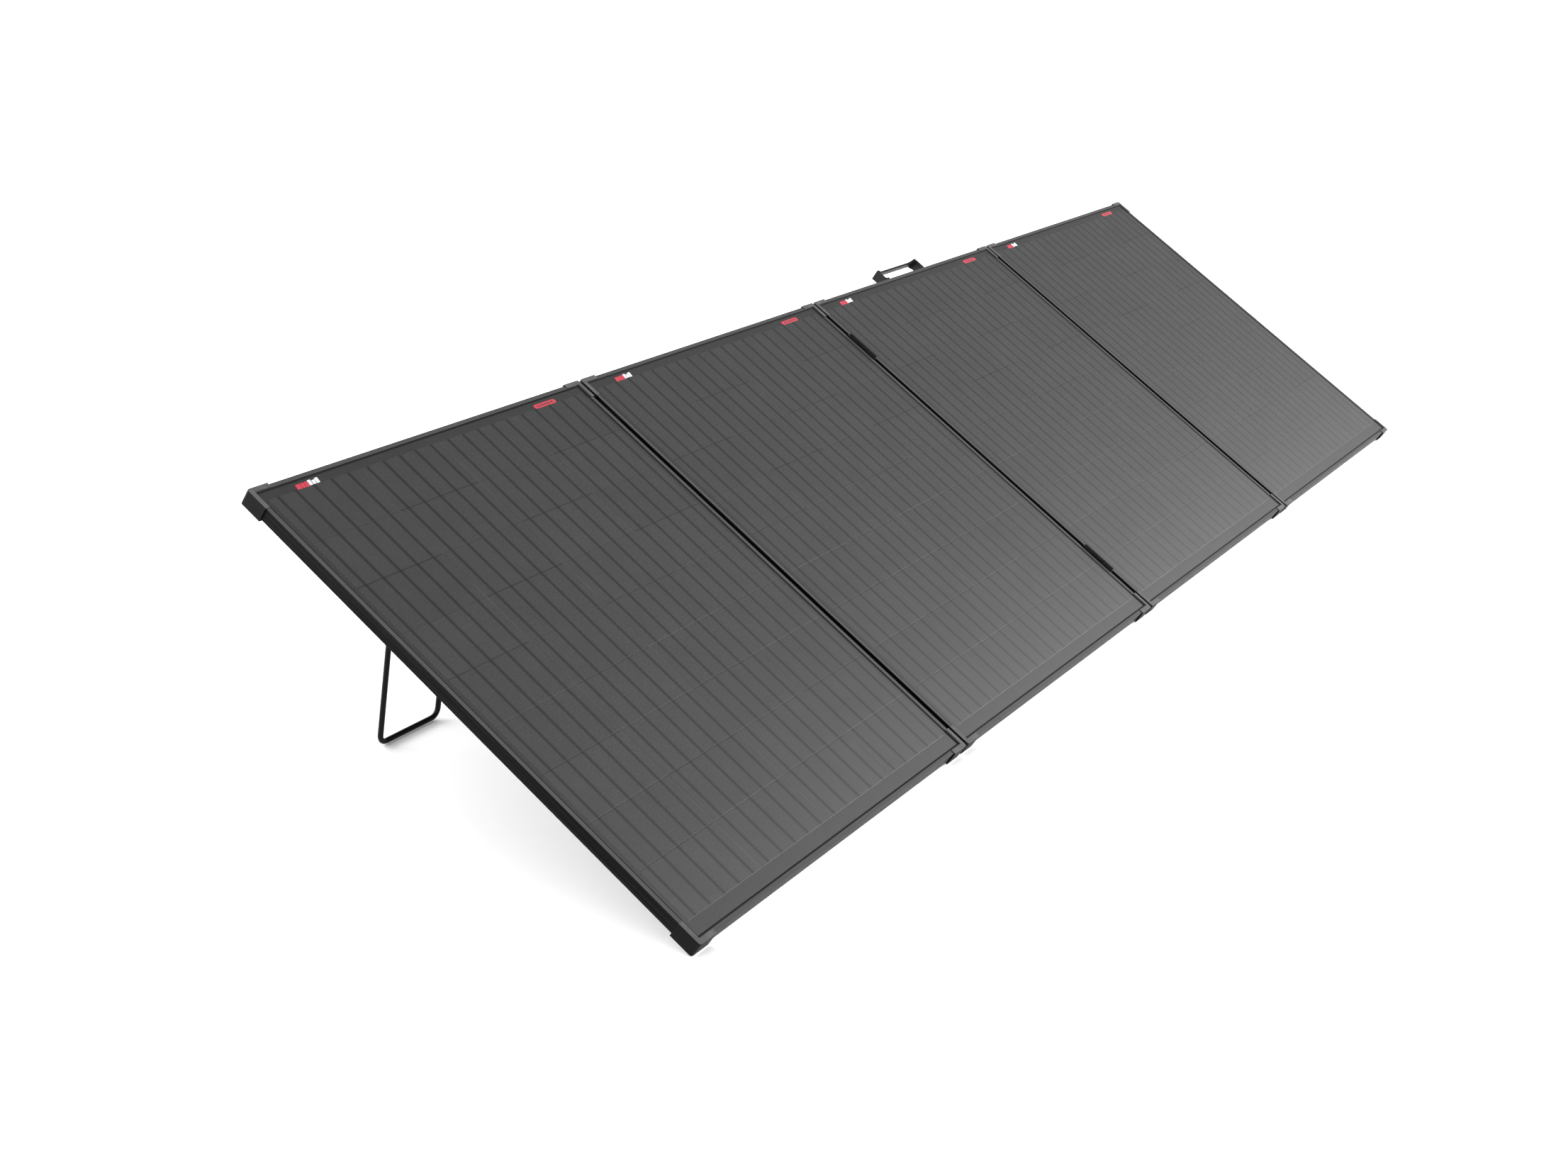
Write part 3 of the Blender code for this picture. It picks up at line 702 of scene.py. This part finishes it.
# ------------------------------------------------------------- fastenings
def panel_screws(number):
    """Countersunk screws through the back flanges of the corner caps."""
    bm = bmesh.new()
    turn = 0.3
    for level in ("lower", "upper"):
        for side in ("left", "right"):
            low, high = flat_box(f"panel_{number}_{level}_{side}_cap")
            sx = 1 if side == "left" else -1
            sv = 1 if level == "lower" else -1
            ox = low[0] if sx > 0 else high[0]
            ov = low[1] if sv > 0 else high[1]
            for dx, dv in ((26.0, 6.4), (6.4, 26.0)):
                turn += 0.9
                cross_screw(bm, (ox + sx * dx, ov + sv * dv, low[2] + 0.02),
                            (0, 0, -1), 2.9, 0.30, turn)
    return shape(f"panel_{number}_cap_screws", bm, [SCREW],
                 f"panel_{number}", 35)


def box_lid(number):
    """Lid, ribs and screws of a junction box."""
    low, high = flat_box(f"panel_{number}_junction_box")
    bm = bmesh.new()
    back = low[2]
    cx = (low[0] + high[0]) / 2
    v1 = high[1]
    h = 60.0
    cv = v1 - h / 2
    w = high[0] - low[0]
    plaque(bm, rounded(cx, cv, w - 6.0, h - 6.0, 5.0), back + 0.02,
           back - 1.3, 0.5)
    for k in range(5):
        plaque(bm, rounded(cx, cv - 14.0 + 7.0 * k, 40.0, 2.4, 1.1),
               back - 1.25, back - 2.2, 0.35)
    lid = shape(f"panel_{number}_box_lid", bm, [BOX], f"panel_{number}",
                35)
    bm = bmesh.new()
    for sx in (-1, 1):
        for sv in (-1, 1):
            cross_screw(bm, (cx + sx * (w / 2 - 9.0), cv + sv * (h / 2 - 9.0),
                             back - 1.25), (0, 0, -1), 3.1, 1.1,
                        0.4 + sx + 2 * sv)
    screws = shape(f"panel_{number}_box_screws", bm, [SCREW],
                   f"panel_{number}", 35)
    return lid, screws


def gland_nut(number):
    """Fluted nut round the gland boss of a junction box."""
    low, high = flat_box(f"panel_{number}_junction_box")
    c = Vector(((low[0] + high[0]) / 2, low[1], (low[2] + high[2]) / 2))
    bm = bmesh.new()
    count = 48

    def ring(v, r, flute):
        points = []
        for k in range(count):
            t = 2 * math.pi * k / count
            d = r - flute * (0.5 + 0.5 * math.cos(12 * t)) ** 3
            points.append((c.x + d * math.cos(t), c.y + v,
                           c.z + d * math.sin(t)))
        return points

    inner = 5.12
    rings = [ring(6.6, inner, 0), ring(6.6, 5.30, 0), ring(6.2, 5.52, 0.22),
             ring(2.4, 5.52, 0.22), ring(1.8, 5.40, 0), ring(0.6, 5.22, 0),
             ring(0.5, inner, 0)]
    made = ring_stack(bm, rings, close=False)
    for i in range(count):
        j = (i + 1) % count
        bm.faces.new((made[-1][i], made[0][i], made[0][j], made[-1][j]))
    return shape(f"panel_{number}_gland_nut", bm, [BOX], f"panel_{number}",
                 30)


def seal(number):
    """Black sealant bead in the corner between the frame lip and the front
    sheet; its black also stands in for the shade in that recess (painted shade).
    """
    sheet = flat_box(f"panel_{number}_laminate")[1][2]
    left_low, left_high = flat_box(f"panel_{number}_left_rail")
    right_low, right_high = flat_box(f"panel_{number}_right_rail")
    low_v = flat_box(f"panel_{number}_bottom_rail")[0][1]
    high_v = flat_box(f"panel_{number}_top_rail")[1][1]
    lip = 6.02
    x0, x1 = left_low[0] + lip, right_high[0] - lip
    v0, v1 = low_v + lip, high_v - lip
    base = sheet + 0.05
    profile = ((0.0, base), (0.0, base + 0.85), (0.5, base + 0.90),
               (1.3, base + 0.62), (2.1, base + 0.24), (2.6, base + 0.16),
               (2.65, base))
    bm = bmesh.new()
    loops = []
    for d, n in profile:
        loops.append([bm.verts.new(q) for q in (
            (x0 + d, v0 + d, n), (x1 - d, v0 + d, n), (x1 - d, v1 - d, n),
            (x0 + d, v1 - d, n))])
    for a, b in zip(loops, loops[1:] + loops[:1]):
        for i in range(4):
            j = (i + 1) % 4
            bm.faces.new((a[i], b[i], b[j], a[j]))
    return shape(f"panel_{number}_seal", bm, [SEAL_AND_SHADE], f"panel_{number}",
                 50)


def handle_screws():
    """Two screws through each foot of the handle."""
    low, high = flat_box("handle")
    mid = (low[2] + high[2]) / 2
    bm = bmesh.new()
    for x in (low[0] + 8.6, high[0] - 8.6):
        for dn in (-5.2, 5.2):
            cross_screw(bm, (x, low[1] + 3.0, mid + dn), (0, 1, 0), 2.5, 1.3,
                        x + dn)
    return shape("handle_screws", bm, [SCREW], "panel_3", 35)


def bracket_screws(leg):
    """A countersunk screw in the back of each leg bracket."""
    bm = bmesh.new()
    for side in ("left", "right"):
        low, high = flat_box(f"leg_{leg}_{side}_bracket")
        cross_screw(bm, ((low[0] + high[0]) / 2, high[1] - 7.0, low[2] + 0.02),
                    (0, 0, -1), 2.4, 0.28, 0.5 + leg)
    return shape(f"leg_{leg}_bracket_screws", bm, [SCREW], f"panel_{leg}",
                 35)


handle_screws()
for leg in (1, 4):
    bracket_screws(leg)
for number in range(1, 5):
    front_sheet(number)
    labels(number)
    panel_screws(number)
    box_lid(number)
    gland_nut(number)
    seal(number)


# ------------------------------------------------------------- stage
def stage_material():
    m = Nodes("floor_pale")
    tone = m.noise(m.rest, 0.7, 3.0)
    m.set(Base_Color=m.grey(m.ramp(tone, 0.3, 0.7, 0.93, 0.95)))
    m.shader.inputs["Roughness"].default_value = 0.9
    m.shader.inputs["Specular IOR Level"].default_value = 0.0
    return m.mat


bm = bmesh.new()
bmesh.ops.create_grid(bm, x_segments=8, y_segments=8, size=60.0)
floor_mesh = bpy.data.meshes.new("floor")
bm.to_mesh(floor_mesh)
bm.free()
floor_mesh.materials.append(stage_material())
floor = bpy.data.objects.new("floor", floor_mesh)
floor.location = (0.0, 0.0, -0.0006)
bpy.context.scene.collection.objects.link(floor)

world = bpy.data.worlds.new("studio")
bpy.context.scene.world = world
world.use_nodes = True
tree = world.node_tree
tree.nodes.clear()
out = tree.nodes.new("ShaderNodeOutputWorld")
sky = tree.nodes.new("ShaderNodeBackground")
tree.links.new(sky.outputs[0], out.inputs[0])
coords = tree.nodes.new("ShaderNodeTexCoord")
dot = tree.nodes.new("ShaderNodeVectorMath")
dot.operation = 'DOT_PRODUCT'
dot.inputs[1].default_value = Vector((0.85, 0.22, 0.48)).normalized()
tree.links.new(coords.outputs["Generated"], dot.inputs[0])
fade = tree.nodes.new("ShaderNodeMapRange")
fade.interpolation_type = 'SMOOTHSTEP'
fade.inputs["From Min"].default_value = 0.25
fade.inputs["From Max"].default_value = 1.0
fade.inputs["To Min"].default_value = 1.5
fade.inputs["To Max"].default_value = 0.34
tree.links.new(dot.outputs["Value"], fade.inputs["Value"])
tree.links.new(fade.outputs[0], sky.inputs["Strength"])
sky.inputs["Color"].default_value = (1.0, 1.0, 1.0, 1.0)


def soft_light(name, place, aim, size, power):
    data = bpy.data.lights.new(name, 'AREA')
    data.shape = 'ELLIPSE'
    data.size, data.size_y = size
    data.energy = power
    lamp = bpy.data.objects.new(name, data)
    lamp.location = place
    lamp.rotation_euler = (Vector(place) - Vector(aim)).to_track_quat(
        'Z', 'Y').to_euler()
    lamp.visible_camera = False
    bpy.context.scene.collection.objects.link(lamp)


soft_light("key", (4.6, -3.6, 2.3), (0.6, -0.3, 0.1), (3.4, 3.4), 560.0)
soft_light("back_fill", (-0.6, 4.4, 1.3), (0.0, 0.2, 0.0), (7.0, 2.2), 420.0)

# ------------------------------------------------------------- camera
CAM = Vector((-3.1599, -1.5220, 1.1778))
YAW, PITCH_DOWN, ROLL = (math.radians(a) for a in (59.474, -18.902, 0.715))
FOCAL_PX, FRAME_PX = 3050.4, 2212.0

forward = Vector((math.cos(PITCH_DOWN) * math.sin(YAW),
                  math.cos(PITCH_DOWN) * math.cos(YAW), math.sin(PITCH_DOWN)))
right = Vector((math.cos(YAW), -math.sin(YAW), 0.0))
up = right.cross(forward)
r2 = right * math.cos(ROLL) + up * math.sin(ROLL)
u2 = up * math.cos(ROLL) - right * math.sin(ROLL)
camera_data = bpy.data.cameras.new("camera")
camera_data.sensor_fit = 'HORIZONTAL'
camera_data.sensor_width = 36.0
camera_data.lens = 36.0 * FOCAL_PX / FRAME_PX
camera_data.clip_end = 200.0
camera = bpy.data.objects.new("camera", camera_data)
camera.matrix_world = Matrix.Translation(CAM) @ Matrix(
    (r2, u2, -forward)).transposed().to_4x4()
bpy.context.scene.collection.objects.link(camera)
bpy.context.scene.camera = camera
bpy.context.scene.view_settings.view_transform = 'Standard'
